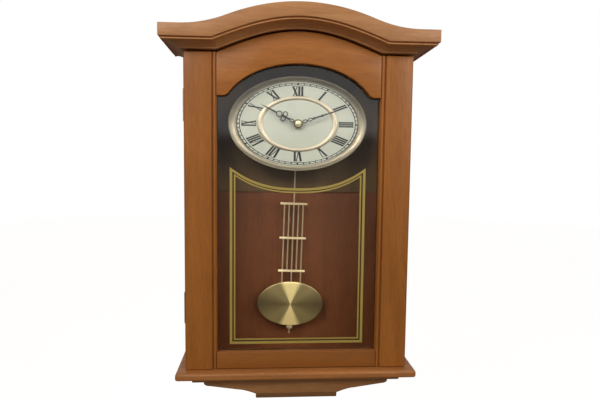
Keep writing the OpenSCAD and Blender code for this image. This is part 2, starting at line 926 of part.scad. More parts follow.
module hour_hand() {
    loops = [[0, 11, 2.8, 4.4], [-4.3, 24.8, 4.3, 4.2], [4.3, 24.8, 4.3, 4.2], [0, 33.6, 5, 5.2]];
    color("black") hung() hand(hour_hand_y, hour_angle, hour_hand_length, pipe_outer, loops,
        [[hub_radius - 1, 7.2], [15, 29]], []);
}

module minute_hand() {
    loops = [[0, 11.4, 3, 4.6], [0, 20.2, 2.7, 4.6]];
    color("black") hung() hand(minute_hand_y, minute_angle, minute_hand_length, arbor_radius,
        loops, [[hub_radius - 1, 7.4]], [[27, 2], [40.8, 1.9], [56, 1.6]]);
}

module hand_cap() {
    front = minute_hand_y - hand_thickness;
    color("gold") hung() difference() {
        intersection() {
            translate([0, front + 3.6, dial_centre]) sphere(r = 7.4);
            bar_y(0, dial_centre, cap_radius, front - 6, front);
        }
        bar_y(0, dial_centre, arbor_radius, minute_hand_y - 2, front + 1);
    }
}

// Pendulum, drawn hanging straight down from its pivot

module leaning() {
    translate([0, pendulum_y, pivot_z]) rotate([0, pendulum_lean, 0]) children();
}

module rod_down(x, from, to, radius) {
    translate([x, 0, -to]) cylinder(r = radius, h = to - from);
}

module pendulum_hook() {
    color("goldenrod") hung() leaning() difference() {
        union() {
            translate([-3.5, -1.5, -14]) cube([7, 3, 18]);
            rod_down(0, 12, bar_drops[0] - bar_height / 2, rod_radius);
        }
        translate([0, 5, 0]) rotate([90, 0, 0])
            cylinder(r = pendulum_pin_radius + pin_clearance, h = 10);
    }
}

module pendulum_rods() {
    bar_half_height = bar_height / 2;
    spans = [[bar_drops[0] + bar_half_height, bar_drops[1] - bar_half_height],
        [bar_drops[1] + bar_half_height, bar_drops[2] - bar_half_height]];
    color("goldenrod") hung() leaning() {
        for (span = spans, i = [-2 : 2]) rod_down(i * rod_spacing, span[0], span[1], rod_radius);
        for (side = [-2, 2]) rod_down(side * rod_spacing, bar_drops[2] + bar_half_height,
            pendulum_length - bob_rz + 12, rod_radius);
        rod_down(0, bar_drops[2] + bar_half_height, thread_end, rod_radius);
    }
}

module pendulum_bars() {
    color("gold") hung() leaning() for (drop = bar_drops)
        translate([0, 0, -drop]) {
            for (z = [-bar_height / 2, bar_height / 2 - 1.2])
                translate([-bar_half, -bar_thickness / 2, z]) cube([2 * bar_half, bar_thickness, 1.2]);
            translate([-bar_half + 1.5, -bar_thickness / 2 + 0.6, -bar_height / 2])
                cube([2 * bar_half - 3, bar_thickness - 1.2, bar_height]);
        }
}

module pendulum_magnet() {
    color("dimgray") hung() leaning() translate([0, -1.5, -11]) rotate([90, 0, 0])
        cylinder(r = 3, h = 4);
}

module pendulum_bob() {
    slot = rod_radius + bob_slot;
    travel = 3.5;
    color("gold") hung() leaning() translate([0, 0, -pendulum_length]) difference() {
        for (step = [[0, 1.2], [2, 2.4], [8, 3.4], [16, bob_half_thickness]])
            slab(-step[1], step[1]) polygon(oval_points(bob_rx - step[0], bob_rz - step[0]));
        translate([0, 0, -bob_rz - 1]) cylinder(r = slot, h = 2 * bob_rz + 2);
        for (side = [-2, 2])
            translate([side * rod_spacing, 0, bob_rz - 12 - travel])
                cylinder(r = slot, h = 20);
    }
}

module rating_nut() {
    color("gold") hung() leaning() translate([0, 0, -nut_drop]) difference() {
        union() {
            translate([0, 0, -4]) cylinder(r = 5, h = 4);
            cylinder(r = 2.6, h = 0.9);
        }
        translate([0, 0, -10]) cylinder(r = rod_radius + pin_clearance, h = 20);
    }
}

side_left();
side_right();
case_top();
back_battens();
back_board();
dial_backing();
base_shelf();
base_moulding();
apron();
apron_foot();
apron_returns();
crown_fascia();
crown_cove();
crown_backer();
crown_return_left();
crown_return_right();
back_screws();
hanger_plate();
hanger_screws();
wall_bumpers();
magnetic_catch();
hinge_leaves_case();
stile_left();
stile_right();
top_rail();
bottom_rail();
glass_pane();
gold_lines();
glass_retainers();
hinge_leaves_door();
hinge_pins();
catch_strike();
dial_plate();
dial_bezel();
dial_ring();
dial_posts();
movement_case();
movement_cover();
fixing_nut();
drive_coil();
circuit_board();
battery();
battery_contacts();
pendulum_bracket();
minute_arbor();
hour_wheel();
reduction_wheel();
third_wheel();
setting_knob();
hour_hand();
minute_hand();
hand_cap();
pendulum_hook();
pendulum_rods();
pendulum_bars();
pendulum_magnet();
pendulum_bob();
rating_nut();
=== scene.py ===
"""Looks of the wall clock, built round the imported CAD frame. Lengths are in metres."""
import json
import math

import bmesh
import bpy
from mathutils import Matrix, Vector
from mathutils.geometry import tessellate_polygon

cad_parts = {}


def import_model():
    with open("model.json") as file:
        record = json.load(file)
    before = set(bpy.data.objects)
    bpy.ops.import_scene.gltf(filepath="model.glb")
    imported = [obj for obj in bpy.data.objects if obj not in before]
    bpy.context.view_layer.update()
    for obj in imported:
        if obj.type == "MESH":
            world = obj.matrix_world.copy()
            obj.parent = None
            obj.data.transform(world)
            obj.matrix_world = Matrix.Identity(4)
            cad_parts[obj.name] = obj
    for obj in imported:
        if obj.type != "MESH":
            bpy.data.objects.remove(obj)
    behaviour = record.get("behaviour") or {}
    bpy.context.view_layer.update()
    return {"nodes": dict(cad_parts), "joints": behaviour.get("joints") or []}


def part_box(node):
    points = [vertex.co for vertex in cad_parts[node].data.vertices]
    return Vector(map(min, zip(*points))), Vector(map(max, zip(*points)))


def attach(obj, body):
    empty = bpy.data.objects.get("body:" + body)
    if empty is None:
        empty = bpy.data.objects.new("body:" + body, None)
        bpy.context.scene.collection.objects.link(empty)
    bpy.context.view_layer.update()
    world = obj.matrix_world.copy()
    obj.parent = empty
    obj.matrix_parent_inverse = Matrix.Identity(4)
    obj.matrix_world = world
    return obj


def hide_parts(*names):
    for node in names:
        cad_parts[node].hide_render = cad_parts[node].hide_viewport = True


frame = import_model()
MM = 0.001


# ---------------------------------------------------------------- camera

def make_camera():
    """A shot from a little left of the clock's middle, tilted slightly down."""
    location = Vector((-0.0529, -0.8318, -0.1446))
    yaw, pitch, roll = (math.radians(a) for a in (-3.565, -4.509, 0.581))
    forward = Vector((-math.sin(yaw) * math.cos(pitch), math.cos(yaw) * math.cos(pitch), math.sin(pitch)))
    level = Vector((math.cos(yaw), math.sin(yaw), 0))
    upright = level.cross(forward)
    right = level * math.cos(roll) + upright * math.sin(roll)
    up = upright * math.cos(roll) - level * math.sin(roll)
    data = bpy.data.cameras.new("camera")
    data.sensor_width = 36
    data.lens = 28.78
    data.shift_x = 0.0098
    data.shift_y = 0.0021
    data.clip_start = 0.01
    camera = bpy.data.objects.new("camera", data)
    rotation = Matrix((right, up, -forward)).transposed().to_4x4()
    camera.matrix_world = Matrix.Translation(location) @ rotation
    bpy.context.scene.collection.objects.link(camera)
    bpy.context.scene.camera = camera


make_camera()


# ---------------------------------------------------------------- materials

class Nodes:
    """A short way to write node trees."""

    def __init__(self, name):
        self.material = bpy.data.materials.new(name)
        self.material.use_nodes = True
        self.tree = self.material.node_tree
        self.shader = self.tree.nodes["Principled BSDF"]

    def add(self, kind, **inputs):
        node = self.tree.nodes.new("ShaderNode" + kind)
        for key, value in inputs.items():
            setattr(node, key, value)
        return node

    def link(self, out, into):
        self.tree.links.new(out, into)

    def set(self, **values):
        """Uniform values on the shader's own sockets, such as Roughness=0.4."""
        for key, value in values.items():
            self.shader.inputs[key.replace("_", " ")].default_value = value

    def place(self, scale=(1, 1, 1), move=(0, 0, 0), turn=(0, 0, 0)):
        """Object coordinates in metres, moved, turned and scaled."""
        coords = self.add("TexCoord")
        mapping = self.add("Mapping")
        mapping.inputs["Location"].default_value = move
        mapping.inputs["Rotation"].default_value = turn
        mapping.inputs["Scale"].default_value = scale
        self.link(coords.outputs["Object"], mapping.inputs["Vector"])
        return mapping.outputs["Vector"]

    def noise(self, vector, scale, detail=4, rough=0.55, distortion=0.0):
        node = self.add("TexNoise")
        node.inputs["Scale"].default_value = scale
        node.inputs["Detail"].default_value = detail
        node.inputs["Roughness"].default_value = rough
        node.inputs["Distortion"].default_value = distortion
        self.link(vector, node.inputs["Vector"])
        return node.outputs["Fac"]

    def ramp(self, value, *stops):
        """Colours or greys at places between 0 and 1."""
        node = self.add("ValToRGB")
        elements = node.color_ramp.elements
        while len(elements) < len(stops):
            elements.new(0.5)
        for element, (place, colour) in zip(elements, stops):
            element.position = place
            grey = isinstance(colour, (int, float))
            element.color = (colour,) * 3 + (1,) if grey else tuple(colour) + (1,)
        self.link(value, node.inputs["Fac"])
        return node.outputs["Color"]

    def mix(self, factor, first, second, blend="MIX"):
        node = self.add("Mix", data_type="RGBA", blend_type=blend)
        for value, socket in ((factor, node.inputs[0]), (first, node.inputs[6]), (second, node.inputs[7])):
            if isinstance(value, bpy.types.NodeSocket):
                self.link(value, socket)
            elif isinstance(value, (int, float)):
                socket.default_value = value
            else:
                socket.default_value = tuple(value) + (1,)
        return node.outputs[2]

    def math(self, operation, first, second=0.0, third=0.0):
        node = self.add("Math", operation=operation)
        for value, socket in zip((first, second, third), node.inputs):
            if isinstance(value, bpy.types.NodeSocket):
                self.link(value, socket)
            else:
                socket.default_value = value
        return node.outputs[0]

    def bump(self, height, strength, distance):
        node = self.add("Bump")
        node.inputs["Strength"].default_value = strength
        node.inputs["Distance"].default_value = distance
        self.link(height, node.inputs["Height"])
        self.link(node.outputs["Normal"], self.shader.inputs["Normal"])


def wood(name, pale, deep, grain="Z", seed=0.0, roughness=0.42, coat=0.08, contrast=1.0):
    """Stained, lacquered hardwood: soft figure, long fine fibres, short pores and a thin coat."""
    n = Nodes(name)
    long, across = 1.0, 14.0
    scale = [long if axis == grain else across for axis in "XYZ"]
    move = (seed * 3.1, seed * 1.7, seed * 2.3)
    grain_space = n.place(scale, move)
    figure = n.noise(grain_space, 3.2, detail=3, distortion=0.8)
    fibres = n.noise(grain_space, 42, detail=5, rough=0.6)
    pores = n.noise(grain_space, 120, detail=2, rough=0.5)
    cloud = n.noise(n.place((1, 1, 1), move), 7, detail=2)
    mean = [(p + d) / 2 for p, d in zip(pale, deep)]
    base = n.ramp(figure, (0.3, deep), (0.5, mean), (0.72, pale))
    streaks = n.mix(0.28 * contrast, base, n.ramp(fibres, (0.35, [c * 0.62 for c in deep]), (0.62, pale)))
    specks = n.ramp(pores, (0.30, 0.62), (0.42, 1.0))
    speckled = n.mix(0.32 * contrast, streaks, specks, "MULTIPLY")
    toned = n.mix(0.35, speckled, n.ramp(cloud, (0.35, 0.78), (0.65, 1.12)), "MULTIPLY")
    n.link(toned, n.shader.inputs["Base Color"])
    n.link(n.ramp(fibres, (0.3, roughness + 0.10), (0.7, roughness - 0.04)), n.shader.inputs["Roughness"])
    n.set(Coat_Weight=coat, Coat_Roughness=0.25, Specular_IOR_Level=0.28)
    n.bump(n.mix(0.4, fibres, pores), 0.05, 0.0002)
    return n.material


def metal(name, colour, roughness=0.28, brushing=None, strength=0.08, spots=0.12, metallic=1.0):
    """Metal with fine brushing, faint tarnish and uneven polish; lacquer lowers the metallic part."""
    n = Nodes(name)
    lines = n.noise(n.place(brushing or (1, 1, 1)), 900, detail=3)
    tarnish = n.noise(n.place(), 60, detail=4)
    tone = n.ramp(tarnish, (0.3, [c * (1 - spots) for c in colour]), (0.7, colour))
    n.link(tone, n.shader.inputs["Base Color"])
    n.link(n.ramp(lines, (0.2, roughness + 0.08), (0.8, roughness - 0.06)), n.shader.inputs["Roughness"])
    n.set(Metallic=metallic)
    n.bump(lines, strength, 0.0002)
    return n.material


def plastic(name, colour, roughness=0.5, texture=1400):
    """Moulded plastic with a spark-eroded skin."""
    n = Nodes(name)
    skin = n.noise(n.place(), texture, detail=2)
    flow = n.noise(n.place(), 25, detail=3)
    tone = n.ramp(flow, (0.35, [c * 0.86 for c in colour]), (0.65, [c * 1.08 for c in colour]))
    n.link(tone, n.shader.inputs["Base Color"])
    n.link(n.ramp(skin, (0.3, roughness + 0.08), (0.7, roughness - 0.05)), n.shader.inputs["Roughness"])
    n.bump(skin, 0.18, 0.0002)
    return n.material


def enamel(name, colour, roughness, coat, mottle=0.05):
    """Paint or print: even colour with a faint mottle."""
    n = Nodes(name)
    grains = n.noise(n.place(), 420, detail=3)
    tone = n.ramp(grains, (0.3, [c * (1 - mottle) for c in colour]), (0.7, colour))
    n.link(tone, n.shader.inputs["Base Color"])
    n.link(n.ramp(grains, (0.3, roughness + 0.05), (0.7, roughness - 0.03)), n.shader.inputs["Roughness"])
    n.set(Coat_Weight=coat)
    n.bump(grains, 0.05, 0.0001)
    return n.material


def glass_material():
    """Thin clear float glass, very slightly green, with faint uneven cleaning marks."""
    n = Nodes("glass")
    smears = n.noise(n.place((3, 1, 1)), 9, detail=3)
    tone = n.ramp(smears, (0.4, (0.95, 0.975, 0.96)), (0.75, (0.985, 1.0, 0.99)))
    n.link(tone, n.shader.inputs["Base Color"])
    n.set(Transmission_Weight=1.0, Roughness=0.0, IOR=1.45)
    return n.material


def bob_material(centre, lean):
    """Spun brass with fine rings, and a painted reflection in the colour: bright fans above and below the
    middle, darker sides.
    """
    n = Nodes("bob_brass")
    vector = n.add("VectorMath", operation="SUBTRACT")
    n.link(n.place(), vector.inputs[0])
    vector.inputs[1].default_value = centre
    upright = n.add("VectorRotate", rotation_type="Y_AXIS")
    n.link(vector.outputs[0], upright.inputs["Vector"])
    upright.inputs["Angle"].default_value = -lean
    parts = n.add("SeparateXYZ")
    n.link(upright.outputs[0], parts.inputs[0])
    across = n.math("DIVIDE", parts.outputs["X"], OVAL)
    side = n.math("ABSOLUTE", across)
    height = n.math("ADD", n.math("ABSOLUTE", parts.outputs["Z"]), 0.0004)
    # Painted highlight: bright fans above and below the middle, where the lamps' reflection in turned brass
    # would lie.
    painted_highlight_fan = n.add("MapRange", interpolation_type="SMOOTHSTEP")
    n.link(n.math("DIVIDE", side, height), painted_highlight_fan.inputs["Value"])
    for socket, value in zip(("From Min", "From Max", "To Min", "To Max"), (0.17, 0.42, 1.0, 0.0)):
        painted_highlight_fan.inputs[socket].default_value = value
    # Painted shade: the sides, level with the middle, are made darker than above and below.
    painted_side_shade = n.ramp(n.math("DIVIDE", height, n.math("ADD", side, 0.0004)), (0.1, 0.0), (1.0, 1.0))
    radius = n.math("SQRT", n.math("ADD", n.math("MULTIPLY", across, across),
                                   n.math("MULTIPLY", parts.outputs["Z"], parts.outputs["Z"])))
    rings = n.math("SINE", n.math("MULTIPLY", radius, 9000.0))
    wobble = n.noise(n.place(), 35, detail=3)
    share = n.math("MULTIPLY", radius, 1 / 0.04)
    # Painted shade: the sides go darker outwards from the middle.
    deep = n.ramp(share, (0.0, (0.17, 0.120, 0.046)), (1.0, (0.10, 0.070, 0.026)))
    sides = n.mix(painted_side_shade, deep, (0.28, 0.21, 0.085))
    # The painted highlight fans laid over the painted dark sides give the painted reflection colour.
    painted_reflection_colour = n.mix(painted_highlight_fan.outputs[0], sides, (1.0, 0.79, 0.36))
    mottled = n.mix(0.12, painted_reflection_colour, n.ramp(wobble, (0.3, 0.6), (0.7, 1.1)), "MULTIPLY")
    n.link(mottled, n.shader.inputs["Base Color"])
    n.link(n.ramp(rings, (0.2, 0.36), (0.8, 0.26)), n.shader.inputs["Roughness"])
    n.set(Metallic=0.3, Anisotropic=0.6)
    tangent = n.add("Tangent", direction_type="RADIAL", axis="Y")
    n.link(tangent.outputs[0], n.shader.inputs["Tangent"])
    n.bump(rings, 0.04, 0.0001)
    return n.material


# ---------------------------------------------------------------- places taken from the frame

DOOR_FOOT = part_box("stile_left")[0].z
JOINTS = {joint["name"]: joint for joint in frame["joints"]}
OVAL = 1.48


def span(node):
    """A CAD node's two corners in mm, with heights from the door's lower edge."""
    drop = Vector((0, 0, DOOR_FOOT))
    return [(corner - drop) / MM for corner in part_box(node)]


def joint_place(name):
    return Vector(JOINTS[name]["pos_m"])


# ---------------------------------------------------------------- mesh tools

def to_row(points):
    """Points in mm, with heights from the door's lower edge, as row coordinates."""
    return [Vector((x * MM, y * MM, z * MM + DOOR_FOOT)) for x, y, z in points]


def shade(mesh, angle=35):
    for polygon in mesh.polygons:
        polygon.use_smooth = True
    mesh.set_sharp_from_angle(angle=math.radians(angle))


def piece(name, points, faces, material, body, hides=(), rounding=0.0, sharp=35, local=None):
    """A finished mesh that rides on a body, with its hard edges rounded by a radius in mm."""
    mesh = bpy.data.meshes.new(name)
    places = to_row(points) if local is None else [local @ (Vector(point) * MM) for point in points]
    mesh.from_pydata(places, [], faces)
    clean = bmesh.new()
    clean.from_mesh(mesh)
    bmesh.ops.remove_doubles(clean, verts=clean.verts, dist=0.00001)
    bmesh.ops.recalc_face_normals(clean, faces=clean.faces)
    clean.to_mesh(mesh)
    clean.free()
    made = bpy.data.objects.new(name, mesh)
    bpy.context.scene.collection.objects.link(made)
    if rounding:
        bevel = made.modifiers.new("rounding", "BEVEL")
        bevel.width = rounding * MM
        bevel.segments = 3
        bevel.limit_method = "ANGLE"
        bevel.angle_limit = math.radians(40)
        apply_modifiers(made)
    shade(made.data, sharp)
    return dress(made, material, body, hides)


def apply_modifiers(made):
    bpy.context.view_layer.update()
    shown = made.evaluated_get(bpy.context.evaluated_depsgraph_get())
    mesh = bpy.data.meshes.new_from_object(shown)
    made.modifiers.clear()
    made.data = mesh


def dress(made, material, body, hides=()):
    made.data.materials.clear()
    made.data.materials.append(material)
    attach(made, body)
    if hides:
        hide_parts(*hides)
    return made


def joined(parts):
    """Several (points, faces) lists as one."""
    points, faces = [], []
    for part_points, part_faces in parts:
        start = len(points)
        points += part_points
        faces += [[index + start for index in face] for face in part_faces]
    return points, faces


def slab(outline, front, back, holes=()):
    """Points and faces of a flat piece between two depths; the outline and its holes are (x, z) lists."""
    rings = [list(outline)] + [list(hole) for hole in holes]
    flat = [point for ring in rings for point in ring]
    count = len(flat)
    points = [(x, front, z) for x, z in flat] + [(x, back, z) for x, z in flat]
    if holes:
        triangles = tessellate_polygon([[Vector((x, z, 0)) for x, z in ring] for ring in rings])
        faces = [list(triangle) for triangle in triangles]
    else:
        faces = [list(range(count))]
    faces += [[index + count for index in reversed(face)] for face in faces]
    start = 0
    for ring in rings:
        size = len(ring)
        for i in range(size):
            a, b = start + i, start + (i + 1) % size
            faces.append([a, b, b + count, a + count])
        start += size
    return points, faces


def skin(rows, around=False, along=False, caps=False):
    """Points and faces of a surface through rows of points."""
    width = len(rows[0])
    points = [point for row in rows for point in row]
    faces = []
    for r in range(len(rows) if along else len(rows) - 1):
        for c in range(width if around else width - 1):
            here, there = r * width, (r + 1) % len(rows) * width
            step = (c + 1) % width
            faces.append([here + c, here + step, there + step, there + c])
    if caps:
        faces.append(list(range(width)))
        faces.append([(len(rows) - 1) * width + c for c in reversed(range(width))])
    return points, faces


def steps(start, end, size):
    """Even steps from start to end, each at most size long."""
    count = max(1, math.ceil(abs(end - start) / size))
    return [start + (end - start) * i / count for i in range(count + 1)]


def arc(cx, cz, radius_x, radius_z, start, end, count):
    """Points of an elliptical arc between two angles in degrees, anticlockwise from the right."""
    turns = [math.radians(start + (end - start) * i / count) for i in range(count + 1)]
    return [(cx + radius_x * math.cos(t), cz + radius_z * math.sin(t)) for t in turns]


def oval_ring(radius_x, radius_z, depth, centre, sides=144):
    turns = [2 * math.pi * i / sides for i in range(sides)]
    return [(centre[0] + radius_x * math.cos(t), depth, centre[1] + radius_z * math.sin(t)) for t in turns]


def curve_between(start, control, end, count=6):
    """A rounded corner: points on a quadratic curve."""
    points = []
    for i in range(count + 1):
        t = i / count
        a, b, c = (1 - t) ** 2, 2 * t * (1 - t), t * t
        points.append(tuple(a * p + b * q + c * r for p, q, r in zip(start, control, end)))
    return points


# ---------------------------------------------------------------- shapes shared by several pieces

FASCIA_LOW, FASCIA_HIGH = span("crown_fascia")
STILE_LOW, STILE_HIGH = span("stile_right")
GLASS_LOW = span("glass_pane")[0]
RAIL_LOW, RAIL_HIGH = span("top_rail")
SHELF_LOW, SHELF_HIGH = span("base_shelf")
MOULDING_LOW, MOULDING_HIGH = span("base_moulding")
HALF_OPENING = STILE_LOW.x
HALF_CARCASS = span("side_right")[1].x
CROWN_END_TOP = span("crown_return_right")[1].z
COVE_DEPTH = 30
COVE_DROP = 11
CROWN_ARCH_HALF = 130
CROWN_ARCH_RISE = 32.3
CONVEX_HALF = 108
CONVEX_DROP = 21
FLANK_HALF = 177
ARCH_HALF = 120
ARCH_RISE = 80
ARCH_TOP = 477.2
REBATE = 7.5
OGEE_HALF = 92
OGEE_HEIGHT = -34
SLOPE_HALF = 138
SLOPE_HEIGHT = -27.5
APRON_ROUND = 9


def crown_height(x):
    """The crown's top: a convex middle, a concave flank and a level end."""
    x = abs(x)
    if x <= CONVEX_HALF:
        return FASCIA_HIGH.z - CONVEX_DROP * (x / CONVEX_HALF) ** 2
    if x <= FLANK_HALF:
        share = (FLANK_HALF - x) / (FLANK_HALF - CONVEX_HALF)
        return CROWN_END_TOP + (FASCIA_HIGH.z - CONVEX_DROP - CROWN_END_TOP) * share ** 2
    return CROWN_END_TOP


def arch_height(x, half, base, rise):
    return base if abs(x) >= half else base + rise * math.cos(math.pi / 2 * x / half)


def stations(half, arch_half):
    """Places along the crown from one end to the other, the same number for every row."""
    level = [-half + (half - arch_half) * i / 6 for i in range(6)]
    arch = [-arch_half + 2 * arch_half * i / 90 for i in range(91)]
    return level + arch + [-x for x in reversed(level)]


def cove_profile():
    """(depth behind the fascia's face, drop below its lower edge): quirk, bead, cove and foot."""
    bead = [(4.6 - 1.8 * math.sin(t), 2.5 - 1.2 * math.cos(t)) for t in (math.pi * i / 8 for i in range(9))]
    cove = []
    for i in range(13):
        share = i / 12
        cove.append((6.2 + 19.6 * share, 2.7 + 6.4 * (1 - math.cos(math.pi / 2 * share))))
    foot = [(25.9, 10.4), (26.3, 10.9), (27, 11), (COVE_DEPTH, COVE_DROP)]
    return [(1.5, 0), (4.6, 0.1)] + bead + [(5.6, 3.4), (5.7, 2.7)] + cove + foot


# ---------------------------------------------------------------- case and crown

def crown_fascia(material):
    half = FASCIA_HIGH.x
    places = stations(half, CROWN_ARCH_HALF)
    low = [(x, arch_height(x, CROWN_ARCH_HALF, FASCIA_LOW.z, CROWN_ARCH_RISE)) for x in places]
    left = steps(-half, -FLANK_HALF, 6)
    middle = steps(-FLANK_HALF, FLANK_HALF, 3)
    right = steps(FLANK_HALF, half, 6)
    tops = left[:-1] + middle + right[1:]
    high = [(x, crown_height(x)) for x in reversed(tops)]
    points, faces = slab(low + high, FASCIA_LOW.y, FASCIA_HIGH.y)
    piece("crown_fascia_board", points, faces, material, "case", ["crown_fascia"], 1.0)


def crown_moulding(material):
    """The bead and cove under the arched fascia, mitred at both ends."""
    front, base = FASCIA_LOW.y, FASCIA_LOW.z
    thick = FASCIA_HIGH.y - front
    columns = []
    for depth, half in ((thick, HALF_CARCASS), (COVE_DEPTH, HALF_CARCASS)):
        columns.append([(x, front + depth, crown_height(x) - 2) for x in stations(half, CROWN_ARCH_HALF)])
    top_front, top_back = columns
    under = [(x, front + thick, arch_height(x, CROWN_ARCH_HALF, base, CROWN_ARCH_RISE))
             for x in stations(HALF_CARCASS, CROWN_ARCH_HALF)]
    columns = [top_back, top_front, under]
    for depth, drop in cove_profile():
        half = max(FASCIA_HIGH.x - depth, HALF_CARCASS)
        arch_half = CROWN_ARCH_HALF - depth / 6
        columns.append([(x, front + depth, arch_height(x, arch_half, base, CROWN_ARCH_RISE) - drop)
                        for x in stations(half, arch_half)])
    points, faces = skin([list(row) for row in zip(*columns)], around=True, caps=True)
    piece("crown_cove_moulding", points, faces, material, "case", ["crown_cove"])


def crown_return(side, node, material):
    """One end of the crown, from the fascia or its mitre back to the wall."""
    half, front, base = FASCIA_HIGH.x, FASCIA_LOW.y, FASCIA_LOW.z
    section = [(HALF_CARCASS, CROWN_END_TOP, FASCIA_HIGH.y), (half - 1, CROWN_END_TOP, FASCIA_HIGH.y),
               (half, CROWN_END_TOP - 1, FASCIA_HIGH.y), (half, base, FASCIA_HIGH.y)]
    section += [(half - depth, base - drop, front + depth) for depth, drop in cove_profile()]
    section += [(HALF_CARCASS, base - COVE_DROP, front + COVE_DEPTH)]
    rows = [[(side * x, y, z) for x, z, y in section], [(side * x, 0, z) for x, z, y in section]]
    points, faces = skin(rows, around=True, caps=True)
    piece(node + "_moulding", points, faces, material, "case", [node])


def rim(levels, half, front, back, corner):
    """A board with a shaped edge on its front and sides, from (inset, height) pairs."""
    rows = []
    for inset, height in levels:
        wide, near = half - inset, front + inset
        turn = max(corner - inset, 0.5)
        right = arc(wide - turn, near + turn, turn, -turn, 0, 90, 5)
        left = [(-x, y) for x, y in reversed(right)]
        rows.append([(x, y, height) for x, y in [(wide, back)] + right + left + [(-wide, back)]])
    return skin(rows, around=True, caps=True)


def base_shelf(material):
    """The shelf: a large round over the front edge and a small one under it."""
    high, low = SHELF_HIGH.z, SHELF_LOW.z
    over, under = 4.5, 2.5
    levels = [(14, high)]
    for i in range(9):
        turn = math.pi / 2 * i / 8
        levels.append((over * (1 - math.sin(turn)), high - over * (1 - math.cos(turn))))
    for i in range(7):
        turn = math.pi / 2 * i / 6
        levels.append((under * (1 - math.cos(turn)), low + under * (1 - math.sin(turn))))
    levels.append((14, low))
    points, faces = rim(levels, SHELF_HIGH.x, SHELF_LOW.y, 0, 5)
    piece("base_shelf_board", points, faces, material, "case", ["base_shelf"])


def base_moulding(material):
    high, low = MOULDING_HIGH.z, MOULDING_LOW.z
    levels = [(0, high), (0, high - 2.6), (0.5, high - 3.4), (1.6, high - 4), (2.4, high - 4.8),
              (2.7, high - 6), (2.7, low)]
    points, faces = rim(levels, MOULDING_HIGH.x, MOULDING_LOW.y, MOULDING_HIGH.y, 1.5)
    piece("base_bed_moulding", points, faces, material, "case", ["base_moulding"])


def apron_edge(x):
    """Lower edge of the apron: an ogee beside the foot, a long slope and a round end."""
    lowest = span("apron")[0].z
    foot_half = span("apron_foot")[1].x
    if x < OGEE_HALF:
        share = (OGEE_HALF - x) / (OGEE_HALF - foot_half)
        return OGEE_HEIGHT + (lowest - OGEE_HEIGHT) * share ** 1.5
    if x < SLOPE_HALF:
        return OGEE_HEIGHT + (SLOPE_HEIGHT - OGEE_HEIGHT) * (x - OGEE_HALF) / (SLOPE_HALF - OGEE_HALF)
    share = (x - SLOPE_HALF) / APRON_ROUND
    return SLOPE_HEIGHT + 5 * (1 - math.sqrt(max(0, 1 - share ** 2)))


def apron(material, foot_material):
    low, high = span("apron")
    foot_low, foot_high = span("apron_foot")
    ends = [SLOPE_HALF + APRON_ROUND * math.sin(math.pi / 2 * i / 6) for i in range(1, 7)]
    places = steps(foot_high.x, SLOPE_HALF, 2) + ends
    right = [(x, apron_edge(x)) for x in places]
    left = [(-x, z) for x, z in reversed(right)]
    points, faces = slab(left + right + [(high.x, high.z), (-high.x, high.z)], low.y, high.y)
    piece("apron_board", points, faces, material, "case", ["apron"], 1.2)
    levels = [(1, foot_high.z), (0, foot_high.z - 1), (0, foot_low.z + 1.4), (0.5, foot_low.z + 0.4),
              (1.4, foot_low.z)]
    points, faces = rim(levels, foot_high.x, foot_low.y, foot_high.y, 2)
    piece("apron_foot_block", points, faces, foot_material, "case", ["apron_foot"])


# ---------------------------------------------------------------- door

def stile_section():
    """(x, y) of the right stile: edge, round bead, quirk, flat face, rounded corner and rebate."""
    inner, outer, face, back = HALF_OPENING, STILE_HIGH.x, STILE_LOW.y, STILE_HIGH.y
    bead = [(inner + 3.3 - 2.5 * math.cos(t), face + 4.1 - 2.5 * math.sin(t))
            for t in (math.pi * i / 10 for i in range(11))]
    flat = [(inner + 6.1, face + 3.6), (inner + 7.1, face + 3.6), (inner + 7.2, face + 0.8),
            (inner + 7.5, face + 0.2), (inner + 8.2, face)]
    corner = [(outer - 2.5 + x, face + 2.5 - y) for x, y in arc(0, 0, 2.5, 2.5, 90, 0, 6)]
    step = inner + REBATE + 0.5
    front_part = [(inner, GLASS_LOW.y), (inner, face + 3.8)] + bead + flat + corner
    return front_part, [(step, back), (step, GLASS_LOW.y)]


def stile(side, node, material):
    """One stile with a rounded top edge, let in at the back for the hinge leaves."""
    front_part, back_part = stile_section()
    face, back, top = STILE_LOW.y, STILE_HIGH.y, STILE_HIGH.z
    leaf_low, leaf_high = span("hinge_leaves_door")
    sunk_to = -leaf_high.x + 3
    leaf_thickness = 1
    leaf_height = 48
    cuts = []
    if side < 0:
        cuts = [(leaf_low.z, leaf_low.z + leaf_height), (leaf_high.z - leaf_height, leaf_high.z)]
    levels = [(0, 0.6, False), (0.6, 0, False)]
    for low, high in cuts:
        levels += [(low, 0, False), (low, 0, True), (high, 0, True), (high, 0, False)]
    for i in range(7):
        turn = math.pi / 2 * i / 6
        levels.append((top - 2 + 2 * math.sin(turn), 2 - 2 * math.cos(turn), False))
    rows = []
    for height, inset, sunk in levels:
        section = [(x, max(y, face + inset)) for x, y in front_part]
        depth = back - leaf_thickness if sunk else back
        section += [(STILE_HIGH.x, depth), (sunk_to, depth), (sunk_to, back)] + back_part
        rows.append([(side * x, y, height) for x, y in section])
    points, faces = skin(rows, around=True, caps=True)
    piece(node + "_board", points, faces, material, "front_door", [node])


def arch_opening(margin):
    """The arched top of the glazed opening from right to left, with eased shoulders."""
    centre = ARCH_TOP - ARCH_RISE
    wide, tall = ARCH_HALF + margin, ARCH_RISE + margin
    shoulder = RAIL_LOW.z + margin
    start = math.degrees(math.asin((shoulder - centre) / tall))
    meet = wide * math.cos(math.radians(start))
    ellipse = arc(0, centre, wide, tall, start + 4, 176 - start, 96)
    right = curve_between((meet + 7, shoulder), (meet, shoulder), ellipse[0])
    left = [(-x, z) for x, z in reversed(right)]
    return [(HALF_OPENING, shoulder)] + right[:-1] + ellipse + left[1:] + [(-HALF_OPENING, shoulder)]


